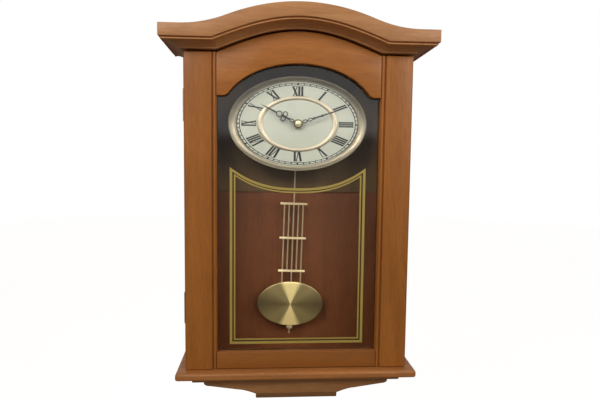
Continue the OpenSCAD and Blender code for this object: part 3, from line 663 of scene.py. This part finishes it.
def top_rail(material):
    base = STILE_HIGH.z - 0.5
    high = [(x, arch_height(x, HALF_OPENING, base, RAIL_HIGH.z - base))
            for x in steps(-HALF_OPENING, HALF_OPENING, 3)]
    front = slab(arch_opening(0) + high, RAIL_LOW.y, GLASS_LOW.y)
    back = slab(arch_opening(REBATE) + high, GLASS_LOW.y, RAIL_HIGH.y)
    points, faces = joined([front, back])
    piece("top_rail_board", points, faces, material, "front_door", ["top_rail"], 0.8)


def bottom_rail(material):
    low, high = span("bottom_rail")
    levels = [(0.8, high.z), (0.25, high.z - 0.25), (0, high.z - 0.8), (0, low.z + 0.8), (0.8, low.z)]
    section = [(low.y + inset, height) for inset, height in levels]
    section += [(high.y, low.z), (high.y, high.z - REBATE), (GLASS_LOW.y, high.z - REBATE),
                (GLASS_LOW.y, high.z)]
    rows = [[(x, y, z) for y, z in section] for x in (low.x, high.x)]
    points, faces = skin(rows, around=True, caps=True)
    piece("bottom_rail_board", points, faces, material, "front_door", ["bottom_rail"])


def border(half, low, corner, sag, line):
    """Outline and hole of a printed border with a sagging top."""
    def ring(wide, foot, top):
        arch = [(x, top - sag * (1 - abs(x / half) ** 2.5)) for x in steps(wide, -wide, 3)]
        return [(-wide, foot), (wide, foot)] + arch
    return ring(half, low, corner), ring(half - line, low + line, corner - line)


def gold_lines(gold, dark):
    low, high = span("gold_lines")
    half, foot, corner = high.x, low.z, high.z
    outer = border(half, foot, corner, 32.5, 4)
    shadow = border(half - 4.5, foot + 4.5, corner - 7.4, 28.8, 1.5)
    inner = border(half - 6.5, foot + 6.5, corner - 10.5, 27.3, 2.3)
    parts = [slab(outline, low.y, high.y, [hole]) for outline, hole in (outer, inner)]
    points, faces = joined(parts)
    piece("gold_print_lines", points, faces, gold, "front_door", ["gold_lines"])
    outline, hole = shadow
    points, faces = slab(outline, low.y, high.y, [hole])
    piece("dark_print_line", points, faces, dark, "front_door")


# ---------------------------------------------------------------- dial

DIAL = Vector((0, 0, (joint_place("minute_turn").z - DOOR_FOOT) / MM))
BEZEL_LOW, BEZEL_HIGH = span("dial_bezel")
RING_LOW, RING_HIGH = span("dial_ring")
PLATE_LOW = span("dial_plate")[0]
RING_INNER_X = 56.3
RING_INNER_Z = 38.5
PRINT_OVAL = 1.51
TRACK_OUTER = 64.6
TRACK_INNER = 61.8
NUMERAL_INNER = 44.4
NUMERAL_OUTER = 59.4
STROKE = 2.3


def turned_oval(section, name, material, hides):
    """An oval ring from (half width, half height, depth) points."""
    rows = [oval_ring(wide, tall, depth, (DIAL.x, DIAL.z)) for wide, tall, depth in section]
    points, faces = skin(rows, around=True, along=True)
    piece(name, points, faces, material, "case", hides)


def dial_bezel(material):
    """A dished surround: the outer rim stands forward and the face falls towards the dial."""
    wide, tall = BEZEL_HIGH.x, (BEZEL_HIGH.z - BEZEL_LOW.z) / 2
    front, back = BEZEL_LOW.y, BEZEL_HIGH.y
    across, down = 13.5, 8.5
    section = [(wide, tall, back), (wide, tall, front + 1.4), (wide - 0.3, tall - 0.3, front + 0.4),
               (wide - 0.8, tall - 0.8, front), (wide - 1.6, tall - 1.5, front + 0.1),
               (wide - 2.0, tall - 1.9, front + 0.9)]
    for i in range(9):
        share = i / 8
        sink = 0.9 + 4.1 * (share + 0.25 * math.sin(math.pi * share))
        section.append((wide - 2.2 - (across - 3.2) * share, tall - 2.0 - (down - 2.8) * share,
                        front + sink))
    section += [(wide - across + 0.3, tall - down + 0.3, PLATE_LOW.y - 0.5),
                (wide - across, tall - down, PLATE_LOW.y), (wide - across, tall - down, back)]
    turned_oval(section, "dial_bezel_dish", material, ["dial_bezel"])


def dial_ring(material):
    """The raised gilt ring inside the numerals."""
    wide, tall = RING_HIGH.x, (RING_HIGH.z - RING_LOW.z) / 2
    across, down = wide - RING_INNER_X, tall - RING_INNER_Z
    rise = 1.5
    section = [(wide, tall, RING_HIGH.y)]
    for i in range(13):
        share = i / 12
        height = rise * math.sin(math.pi * share) ** 0.7
        section.append((wide - across * share, tall - down * share, RING_HIGH.y - 0.1 - height))
    section.append((wide - across, tall - down, RING_HIGH.y))
    turned_oval(section, "dial_ring_bead", material, ["dial_ring"])


def letter_strokes(letter):
    """Width of a Roman letter and its strokes, as corners with the bottom at 0 and the top at 1."""
    thin = 1.0
    if letter == "I":
        half = STROKE / 2
        return 3.1, [[(-half, 0), (half, 0), (half, 1), (-half, 1)]]
    half = 2.2
    falling = [(-half - STROKE / 2, 1), (-half + STROKE / 2, 1)]
    if letter == "V":
        left = [(-0.2 + STROKE / 2, 0), (-0.2 - STROKE / 2, 0)] + falling
        right = [(0.1, 0), (0.1 + thin, 0), (half + thin, 1), (half, 1)]
        return 5.7, [left, right]
    left = falling + [(half + STROKE / 2, 0), (half - STROKE / 2, 0)]
    right = [(-half, 0), (-half + thin, 0), (half + thin / 2, 1), (half - thin / 2, 1)]
    return 5.7, [left, right]


def numeral(text, hour):
    """One Roman numeral as flat outlines on the round dial, before it is drawn out sideways."""
    letters = [letter_strokes(letter) for letter in text]
    total = sum(width for width, strokes in letters)
    tall, serif = NUMERAL_OUTER - NUMERAL_INNER, 0.55
    outlines = []
    place = -total / 2
    for width, strokes in letters:
        middle = place + width / 2
        outlines += [[(middle + x, NUMERAL_INNER + tall * z) for x, z in stroke] for stroke in strokes]
        place += width
    for edge in (NUMERAL_INNER - serif / 2, NUMERAL_OUTER - serif / 2):
        half = total / 2 + 0.1
        outlines.append([(-half, edge), (half, edge), (half, edge + serif), (-half, edge + serif)])
    angle = hour * math.tau / 12
    return [[clockwise(across, out, angle) for across, out in outline] for outline in outlines]


def clockwise(across, out, angle):
    """A place on the round dial: out along a clockwise angle from the top, and across it."""
    sine, cosine = math.sin(angle), math.cos(angle)
    return out * sine + across * cosine, out * cosine - across * sine


def minute_track():
    outlines = []
    for i in range(60):
        half = 1.0 if i % 5 == 0 else 0.5
        corners = [(-half, TRACK_INNER), (half, TRACK_INNER), (half, TRACK_OUTER), (-half, TRACK_OUTER)]
        outlines.append([clockwise(across, out, i * math.tau / 60) for across, out in corners])
    half_line = 0.45
    for radius in (TRACK_INNER, TRACK_OUTER):
        inside, outside = radius - half_line, radius + half_line
        for i in range(120):
            corners = [clockwise(0, out, (i + k) * math.tau / 120)
                       for out, k in ((inside, 0), (outside, 0), (outside, 1), (inside, 1))]
            outlines.append(corners)
    return outlines


def dial_print(material):
    """Roman numerals and the minute track, printed on the plate."""
    outlines = minute_track()
    for hour, text in enumerate("I II III IIII V VI VII VIII IX X XI XII".split(), 1):
        outlines += numeral(text, hour)
    front = PLATE_LOW.y - 0.06
    parts = [slab([(DIAL.x + x * PRINT_OVAL, DIAL.z + z) for x, z in outline], front, PLATE_LOW.y)
             for outline in outlines]
    points, faces = joined(parts)
    piece("dial_print", points, faces, material, "case")


def hand_hub(material):
    """The turned black boss under the cap."""
    front = span("minute_hand")[0].y
    rows = []
    for radius, depth in ((0, -1.0), (4.6, -1.0), (6.2, -0.7), (6.8, -0.2), (6.8, 0)):
        rows.append(oval_ring(radius, radius, front + depth, (DIAL.x, DIAL.z), 48))
    points, faces = skin(rows, around=True)
    piece("hand_hub", points, faces, material, "minute_work")


# ---------------------------------------------------------------- pendulum

PIVOT = joint_place("pendulum_swing")
SLIDE = Vector(JOINTS["bob_slide"]["axis"])
LEAN = math.atan(SLIDE.x / SLIDE.z)
HANGING = Matrix.Translation(PIVOT) @ Matrix.Rotation(LEAN, 4, "Y")
BOB_HALF_THICKNESS = 4.0
BOB_HALF_HEIGHT = 38.0
BAR_DROPS = (101.5, 160, 216.5)
BAR_HALF = 22.8


def hanging_place(node):
    """Centre of a pendulum part, in mm from the pivot along the leaning rod."""
    low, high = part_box(node)
    return HANGING.inverted() @ ((low + high) / 2) / MM


def pendulum_bob(material):
    """A solid shallow lens with a thin edge, drawn out sideways; the rods run into it."""
    centre = hanging_place("pendulum_bob")
    thick, tall = BOB_HALF_THICKNESS, BOB_HALF_HEIGHT
    section = [(0.0, -thick)]
    section += [(share, -thick * (0.25 + 0.75 * math.cos(math.pi / 2 * share))) for share in
                (0.12, 0.25, 0.4, 0.55, 0.7, 0.8, 0.88)]
    section += [(0.95, -1.3), (0.98, -1.0), (0.995, -0.6), (1.0, 0)]
    rows = []
    for share, depth in section + [(share, -depth) for share, depth in reversed(section[:-1])]:
        size = max(share, 0.001) * tall
        rows.append(oval_ring(size * OVAL, size, depth, (0, centre.z), 160))
    points, faces = skin(rows, around=True, caps=True)
    piece("pendulum_bob_lens", points, faces, material, "bob", ["pendulum_bob"], local=HANGING)


def rating_nut(material):
    """A knurled thumb nut with a round collar."""
    centre = hanging_place("rating_nut")
    low, high = centre.z - 2.45, centre.z + 2.45
    wide = 5.0
    levels = [(1.6, low), (wide - 0.7, low), (wide, low + 0.7), (wide, high - 1.6),
              (wide - 0.7, high - 0.9), (3.2, high - 0.9), (3.0, high), (1.6, high)]
    rows = []
    sides = 96
    for i in range(sides):
        turn = math.tau * i / sides
        cut = 0.25 * (i % 2)
        rows.append([((r - cut * (r > 3.5)) * math.cos(turn), (r - cut * (r > 3.5)) * math.sin(turn), z)
                     for r, z in levels])
    points, faces = skin(rows, around=True, along=True)
    piece("rating_nut_knurled", points, faces, material, "nut", ["rating_nut"],
          local=HANGING)


def pendulum_bars(material):
    """Cross bars with a groove rolled along the middle and rounded ends."""
    grooved = [(-0.5, -1.8), (-1.4, -1.5), (-1.7, -0.9), (-1.45, -0.4), (-0.8, 0), (-1.45, 0.4),
               (-1.7, 0.9), (-1.4, 1.5), (-0.5, 1.8)]
    section = grooved + [(1.2, 1.8), (1.7, 1.3), (1.7, -1.3), (1.2, -1.8)]
    left_end = [(-BAR_HALF, 0.6), (-BAR_HALF + 0.4, 0.85), (-BAR_HALF + 1, 1)]
    right_end = [(-x, share) for x, share in reversed(left_end)]
    parts = []
    for drop in BAR_DROPS:
        rows = [[(x, y * share, z * share - drop) for y, z in section] for x, share in left_end + right_end]
        parts.append(skin(rows, around=True, caps=True))
    points, faces = joined(parts)
    piece("pendulum_bars_rolled", points, faces, material, "pendulum", ["pendulum_bars"],
          local=HANGING)


# ---------------------------------------------------------------- materials of every piece

FASCIA_PALE, FASCIA_DEEP = (0.52, 0.245, 0.092), (0.39, 0.165, 0.060)
DOOR_PALE, DOOR_DEEP = (0.44, 0.155, 0.028), (0.32, 0.105, 0.017)
BACK_PALE, BACK_DEEP = (0.175, 0.052, 0.013), (0.125, 0.036, 0.009)


def toned(colour, amount):
    return tuple(channel * amount for channel in colour)


fascia_wood = wood("crown_front_wood", FASCIA_PALE, FASCIA_DEEP, "X", 1.3)
# Painted fill light: the moulding and crown end wood are the fascia wood made 1.3 times brighter, to lift
# the downward-facing coves.
moulding_wood_painted_fill = wood("crown_moulding_wood_painted_fill", toned(FASCIA_PALE, 1.3), toned(FASCIA_DEEP, 1.3), "X", 2.1)
end_wood_painted_fill = wood("crown_end_wood_painted_fill", toned(FASCIA_PALE, 1.3), toned(FASCIA_DEEP, 1.3), "Y", 3.4)
stile_wood = wood("stile_wood", DOOR_PALE, DOOR_DEEP, "Z", 4.2)
rail_wood = wood("rail_wood", DOOR_PALE, DOOR_DEEP, "X", 5.7)
shelf_wood = wood("shelf_wood", (0.53, 0.215, 0.062), (0.38, 0.140, 0.038), "X", 6.9)
apron_wood = wood("apron_wood", toned(FASCIA_PALE, 0.85), toned(FASCIA_DEEP, 0.85), "X", 7.5)
foot_wood = wood("foot_wood", toned(FASCIA_PALE, 0.5), toned(FASCIA_DEEP, 0.5), "X", 8.8)
low_rail_wood = wood("low_rail_wood", toned(DOOR_PALE, 0.78), toned(DOOR_DEEP, 0.78), "X", 12.5)
retainer_wood = wood("retainer_wood", toned(DOOR_PALE, 0.15), toned(DOOR_DEEP, 0.15), "Z", 13.1)
side_wood = wood("side_wood", DOOR_PALE, DOOR_DEEP, "Z", 9.6)
back_wood = wood("back_wood", BACK_PALE, BACK_DEEP, "Z", 10.4, roughness=0.6, coat=0.0)
panel_dark = wood("panel_dark", (0.13, 0.072, 0.024), (0.095, 0.052, 0.017), "Z", 11.3, 0.6, 0.0, 0.3)
steel = metal("zinc_steel", (0.62, 0.62, 0.60), 0.34)
brass = metal("plated_brass", (0.72, 0.53, 0.24), 0.3)
rubber = plastic("black_rubber", (0.035, 0.035, 0.035), 0.7, 900)
catch_brown = plastic("catch_brown", (0.11, 0.07, 0.04), 0.45)
clear_glass = glass_material()
gold_ink = enamel("gold_ink", (0.58, 0.44, 0.11), 0.5, 0.0, 0.12)
dark_ink = enamel("dark_ink", (0.035, 0.024, 0.016), 0.6, 0.0, 0.1)
paper = enamel("dial_enamel", (0.47, 0.475, 0.405), 0.55, 0.05, 0.03)
numeral_ink = enamel("numeral_ink", (0.004, 0.004, 0.005), 0.8, 0.0, 0.1)
bezel_gold = metal("bezel_champagne", (0.35, 0.30, 0.22), 0.46, spots=0.14)
ring_gold = metal("ring_gilt", (0.60, 0.51, 0.38), 0.5, spots=0.08, metallic=0.8)
movement_black = plastic("movement_black", (0.022, 0.022, 0.024), 0.45)
copper_wire = metal("copper_wire", (0.70, 0.32, 0.16), 0.35, brushing=(6, 0.4, 0.4))
board_green = plastic("board_green", (0.03, 0.14, 0.05), 0.35)
battery_sleeve = enamel("battery_sleeve", (0.05, 0.09, 0.26), 0.3, 0.4, 0.06)
gear_brass = metal("gear_brass", (0.74, 0.54, 0.25), 0.25, brushing=(1, 5, 1))
knob_white = plastic("knob_white", (0.62, 0.62, 0.58), 0.5)
hand_black = enamel("hand_black", (0.006, 0.006, 0.006), 0.6, 0.05, 0.2)
cap_brass = metal("cap_brass", (0.93, 0.80, 0.48), 0.2, spots=0.05, metallic=0.6)
pendulum_brass = metal("pendulum_brass", (0.95, 0.78, 0.46), 0.3, brushing=(0.3, 2, 3), metallic=0.35)
rod_brass = metal("rod_brass", (0.60, 0.49, 0.31), 0.32, brushing=(3, 3, 0.3), metallic=0.5)
magnet_dark = plastic("sintered_magnet", (0.05, 0.05, 0.052), 0.6, 700)
bob_brass = bob_material(HANGING @ (hanging_place("pendulum_bob") * MM), LEAN)

DRESSED = {
    "side_left": side_wood, "side_right": side_wood, "case_top": side_wood, "back_battens": side_wood,
    "apron_returns": end_wood_painted_fill, "crown_backer": moulding_wood_painted_fill, "glass_retainers": retainer_wood,
    "back_board": back_wood, "dial_backing": panel_dark, "back_screws": steel, "hanger_screws": steel,
    "catch_strike": steel, "dial_posts": steel, "battery_contacts": steel, "pendulum_bracket": steel,
    "hanger_plate": brass, "hinge_leaves_case": brass, "hinge_leaves_door": brass, "hinge_pins": brass,
    "fixing_nut": brass, "wall_bumpers": rubber, "magnetic_catch": catch_brown, "glass_pane": clear_glass,
    "dial_plate": paper, "movement_case": movement_black, "movement_cover": movement_black,
    "drive_coil": copper_wire, "circuit_board": board_green, "battery": battery_sleeve,
    "minute_arbor": gear_brass, "hour_wheel": gear_brass, "reduction_wheel": gear_brass,
    "third_wheel": gear_brass, "setting_knob": knob_white, "hour_hand": hand_black,
    "minute_hand": hand_black, "hand_cap": cap_brass, "pendulum_hook": rod_brass,
    "pendulum_rods": rod_brass, "pendulum_magnet": magnet_dark,
}


def dress_cad_nodes():
    for name, material in DRESSED.items():
        mesh = frame["nodes"][name].data
        mesh.materials.clear()
        mesh.materials.append(material)
    frame["nodes"]["glass_pane"].visible_shadow = False


# ---------------------------------------------------------------- the pieces

crown_fascia(fascia_wood)
crown_moulding(moulding_wood_painted_fill)
crown_return(-1, "crown_return_left", end_wood_painted_fill)
crown_return(1, "crown_return_right", end_wood_painted_fill)
base_shelf(shelf_wood)
base_moulding(moulding_wood_painted_fill)
apron(apron_wood, foot_wood)
stile(-1, "stile_left", stile_wood)
stile(1, "stile_right", stile_wood)
top_rail(rail_wood)
bottom_rail(low_rail_wood)
gold_lines(gold_ink, dark_ink)
dial_bezel(bezel_gold)
dial_ring(ring_gold)
dial_print(numeral_ink)
hand_hub(hand_black)
pendulum_bob(bob_brass)
pendulum_bars(pendulum_brass)
rating_nut(rod_brass)
dress_cad_nodes()


# ---------------------------------------------------------------- floor, light and world

def floor():
    """A pale round floor well below the hanging clock."""
    radius, level = 10.0, -1.3
    mesh = bpy.data.meshes.new("studio_floor")
    sides = 96
    turns = [math.tau * i / sides for i in range(sides)]
    ring = [(radius * math.cos(turn), radius * math.sin(turn), level) for turn in turns]
    mesh.from_pydata(ring, [], [list(range(sides))])
    made = bpy.data.objects.new("studio_floor", mesh)
    bpy.context.scene.collection.objects.link(made)
    n = Nodes("studio_floor")
    speckle = n.noise(n.place(), 4, detail=3)
    n.link(n.ramp(speckle, (0.3, 0.93), (0.7, 0.97)), n.shader.inputs["Base Color"])
    n.set(Roughness=0.9, Emission_Color=(1, 1, 1, 1), Emission_Strength=0.8)
    mesh.materials.append(n.material)
    made.visible_diffuse = False
    made.visible_glossy = False
    made.visible_transmission = False


def area_light(name, place, target, size, power, colour=(1, 1, 1)):
    data = bpy.data.lights.new(name, "AREA")
    data.shape = "DISK"
    data.size = size
    data.energy = power
    data.color = colour
    made = bpy.data.objects.new(name, data)
    made.location = place
    made.rotation_euler = (Vector(target) - Vector(place)).to_track_quat("-Z", "Y").to_euler()
    bpy.context.scene.collection.objects.link(made)


def world():
    """White behind the clock, a dim even fill, and a ramp from dark below to pale above in reflections."""
    made = bpy.data.worlds.new("studio")
    bpy.context.scene.world = made
    made.use_nodes = True
    tree = made.node_tree
    tree.nodes.clear()
    path = tree.nodes.new("ShaderNodeLightPath")
    coords = tree.nodes.new("ShaderNodeTexCoord")
    parts = tree.nodes.new("ShaderNodeSeparateXYZ")
    tree.links.new(coords.outputs["Generated"], parts.inputs[0])
    ramp = tree.nodes.new("ShaderNodeValToRGB")
    stops = ramp.color_ramp.elements
    stops[1].position = 0.534
    stops[0].position = 0.36
    stops.new(0.524)
    for stop, grey in zip(stops, (0.02, 0.20, 0.72)):
        stop.color = (grey, grey, grey, 1)
    level = tree.nodes.new("ShaderNodeMath")
    level.operation = "MULTIPLY_ADD"
    level.inputs[1].default_value = 0.5
    level.inputs[2].default_value = 0.5
    tree.links.new(parts.outputs["Z"], level.inputs[0])
    tree.links.new(level.outputs[0], ramp.inputs[0])

    def background(colour, strength):
        node = tree.nodes.new("ShaderNodeBackground")
        node.inputs["Color"].default_value = colour
        node.inputs["Strength"].default_value = strength
        return node

    fill = background((1.0, 0.96, 0.90, 1), 0.17)
    seen = background((1, 1, 1, 1), 1.0)
    mirrored = background((1, 1, 1, 1), 1.0)
    tree.links.new(ramp.outputs[0], mirrored.inputs["Color"])

    def bounced(kind):
        """One where the ray has already bounced that way, otherwise nought."""
        node = tree.nodes.new("ShaderNodeMath")
        node.operation = "GREATER_THAN"
        node.inputs[1].default_value = 0.5
        tree.links.new(path.outputs[kind], node.inputs[0])
        return node.outputs[0]

    def choose(factor, first, second):
        node = tree.nodes.new("ShaderNodeMixShader")
        tree.links.new(factor, node.inputs[0])
        tree.links.new(first.outputs[0], node.inputs[1])
        tree.links.new(second.outputs[0], node.inputs[2])
        return node

    unlit = choose(bounced("Glossy Depth"), seen, mirrored)
    whole = choose(bounced("Diffuse Depth"), unlit, fill)
    out = tree.nodes.new("ShaderNodeOutputWorld")
    tree.links.new(whole.outputs[0], out.inputs[0])
    made.cycles.sampling_method = "NONE"


floor()
world()
area_light("key", (-0.60, -1.10, 0.55), (0, -0.12, 0.0), 0.6, 8.4, (1.0, 0.97, 0.91))
area_light("second", (0.75, -1.10, 0.42), (0, -0.12, 0.0), 0.6, 6.8, (1.0, 0.97, 0.92))
bpy.context.scene.view_settings.view_transform = "Standard"
